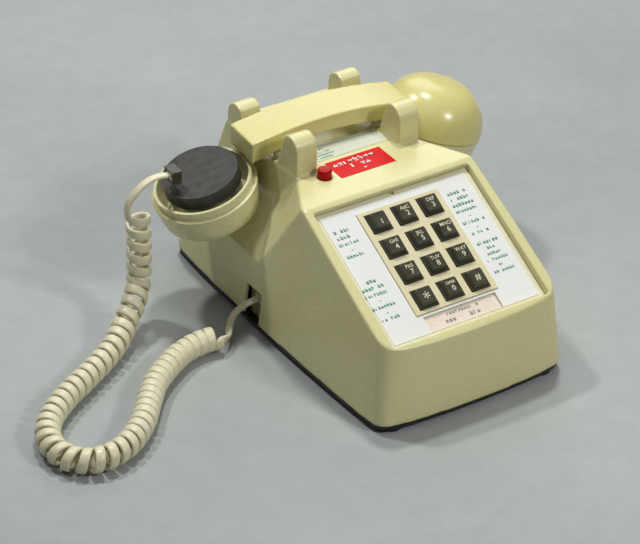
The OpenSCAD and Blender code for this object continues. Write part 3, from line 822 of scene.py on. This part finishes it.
# ---------------------------------------------------------------- printed matter
def strokes(lines, seed, z, thick=0.05):
    """Made-up marks set out like lines of print: (x, y, marks, size) for each line."""
    rng = random.Random(seed)
    quads = []

    def bar(*corners):
        quads.append(corners)

    for cx, cy, marks, size in lines:
        step, w = 0.9 * size, 0.24 * size
        x = cx - step * marks / 2
        for _ in range(marks):
            kind = rng.random()
            if kind > 0.08 or marks == 1:
                tall = size * (1.0 if rng.random() < 0.4 else 0.72)
                a, b = x, x + step * 0.68
                if marks == 1:
                    bar(a, cy + 0.3 * size - w / 2, b, cy + 0.3 * size + w / 2)
                else:
                    bar(a, cy, a + w, cy + tall)
                    if kind > 0.3:
                        bar(b - w, cy, b, cy + size * 0.72)
                    if kind > 0.55:
                        bar(a, cy, b, cy + w)
                    if 0.2 < kind < 0.8:
                        level = rng.choice((0.36, 0.72)) * size
                        bar(a, cy + level - w, b, cy + level)
            x += step
    verts, faces = [], []
    for x0, y0, x1, y1 in quads:
        n = len(verts)
        verts += [(x, y, zz) for zz in (z, z + thick) for x, y in
                  ((x0, y0), (x1, y0), (x1, y1), (x0, y1))]
        faces += [(n, n + 3, n + 2, n + 1), (n + 4, n + 5, n + 6, n + 7)]
        faces += [(n + k, n + (k + 1) % 4, n + 4 + (k + 1) % 4, n + 4 + k) for k in range(4)]
    return solid("strokes", verts, faces)


def build_print():
    """Made-up marks on the card, the number card, the label and the cradle card."""
    left = [(-44, 30.0, 5, 2.2), (-44, 25.5, 5, 2.2), (-44, 21.0, 7, 1.9), (-44, 16.4, 1, 1.7),
            (-44, 11.9, 6, 2.0), (-45.7, -7.8, 4, 2.2), (-45.7, -12.3, 7, 2.1),
            (-45.7, -16.9, 8, 1.9), (-45.7, -21.2, 1, 1.7), (-45.7, -25.7, 8, 1.9),
            (-45.7, -30.1, 1, 1.7), (-45.7, -34.5, 6, 2.0)]
    right = [(41.2, 30.6, 6, 2.1), (41.2, 26.2, 6, 2.1), (41.2, 21.9, 7, 2.1),
             (41.2, 17.4, 8, 1.9), (41.2, 13.1, 1, 1.7), (41.2, 8.6, 8, 1.9),
             (41.2, 4.4, 1, 1.7), (41.2, 0.3, 6, 2.0), (41.7, -7.5, 7, 2.1), (41.7, -11.7, 3, 1.9),
             (41.7, -15.9, 5, 1.9), (41.7, -20.1, 8, 1.8), (41.7, -24.4, 2, 1.7),
             (41.7, -28.8, 8, 1.8)]
    ob = strokes([(x, y, marks, 1.2 * size) for x, y, marks, size in left + right], 7, 0.4)
    ob.data.transform(PLATE)
    finished(ob, "card_marks", ink_teal, "root", "card_white")
    ob = strokes([(1.5, -43.4, 11, 2.4), (-9.3, -48.2, 3, 2.9), (8.4, -48.4, 3, 2.9)], 3, -1.0)
    ob.data.transform(PLATE)
    finished(ob, "number_marks", ink_grey, "root", "card_peach")
    ob = strokes([(-1.5, 13.0, 9, 4.3), (-1.5, 7.6, 4, 4.0), (-1.5, 2.9, 1, 3.4)], 11, 105.66)
    finished(ob, "label_marks", ink_white, "root", "label_red")
    slope = (Matrix.Translation((0, 23.8 * MM, 105.33 * MM))
             @ Matrix.Rotation(-math.atan(2 / 20), 4, "X"))
    ob = strokes([(-19, 12.6, 8, 2.4), (-17, 8.8, 9, 2.2), (-17, 5.2, 9, 2.2), (-18, 1.6, 7, 2.2)],
                 5, 0.36)
    ob.data.transform(slope)
    finished(ob, "cradle_marks", ink_teal, "root", "card_green")


build_print()


# ---------------------------------------------------------------- small visible pieces
def build_lamp():
    profile = [(0, 102.4), (4.6, 102.4), (4.6, 109.4)]
    profile += [(3.4 + 1.2 * math.cos(math.radians(a)), 109.9 + 1.2 * math.sin(math.radians(a)))
                for a in range(0, 91, 18)]
    profile += [(2.0, 111.3), (0, 111.4)]
    ob = lathe(profile, 48, Matrix.Translation((-30 * MM, 7.5 * MM, 0)))
    finished(smooth_shaded(ob, 40), "lamp_button", lamp_red, "root", "lamp_red",
             "message_lamp_lens")


build_lamp()


# ---------------------------------------------------------------- floor and lights
def build_floor():
    ob = link("floor", bpy.data.meshes.new("floor"))
    bm = bmesh.new()
    bmesh.ops.create_grid(bm, x_segments=1, y_segments=1, size=6)
    bm.to_mesh(ob.data)
    bm.free()
    n = Nodes("floor")
    wide = n.ramp(n.noise(2.2, 5, 0.6), (0.3, (0.32, 0.342, 0.345)), (0.7, (0.42, 0.445, 0.442)))
    fine = n.ramp(n.noise(60, 6, 0.7), (0.35, 0.93), (0.65, 1.0))
    colour = n.mix(1.0, wide, fine, "MULTIPLY")
    n.set(Base_Color=colour, Specular_IOR_Level=0.15,
          Roughness=n.ramp(n.noise(9, 4), (0.3, 0.6), (0.7, 0.8)),
          Normal=n.bump(n.noise(220, 5, 0.6), 0.12, 0.001))
    ob.data.materials.append(n.material)


build_floor()


def area_light(name, direction, distance, size, power, colour):
    light = bpy.data.lights.new(name, "AREA")
    light.shape = "DISK"
    light.size = size
    light.energy = power
    light.color = colour
    ob = bpy.data.objects.new(name, light)
    scene.collection.objects.link(ob)
    d = Vector(direction).normalized()
    ob.location = Vector((-0.04, 0.0, 0.05)) + d * distance
    ob.rotation_euler = d.to_track_quat("Z", "Y").to_euler()


area_light("key_right", (0.16, 0.26, 1.0), 1.9, 0.18, 15, (1.0, 0.985, 0.95))
area_light("key_left", (-0.25, 0.45, 1.0), 1.9, 0.18, 13, (1.0, 0.985, 0.95))
area_light("front_light", (0.35, -0.85, 0.75), 2.0, 0.30, 14, (1.0, 0.98, 0.95))
area_light("back_panel", (0.47, 0.69, 0.62), 1.9, 1.3, 9, (1.0, 1.0, 1.0))
area_light("top_soft", (-0.35, -0.2, 1.0), 2.2, 1.6, 5, (0.97, 0.99, 1.0))
world = scene.world or bpy.data.worlds.new("world")
scene.world = world
world.use_nodes = True
world.node_tree.nodes["Background"].inputs["Color"].default_value = (0.92, 0.96, 1.0, 1)
world.node_tree.nodes["Background"].inputs["Strength"].default_value = 0.07
scene.view_settings.view_transform = "Standard"

# ---------------------------------------------------------------- final update
bpy.context.view_layer.update()
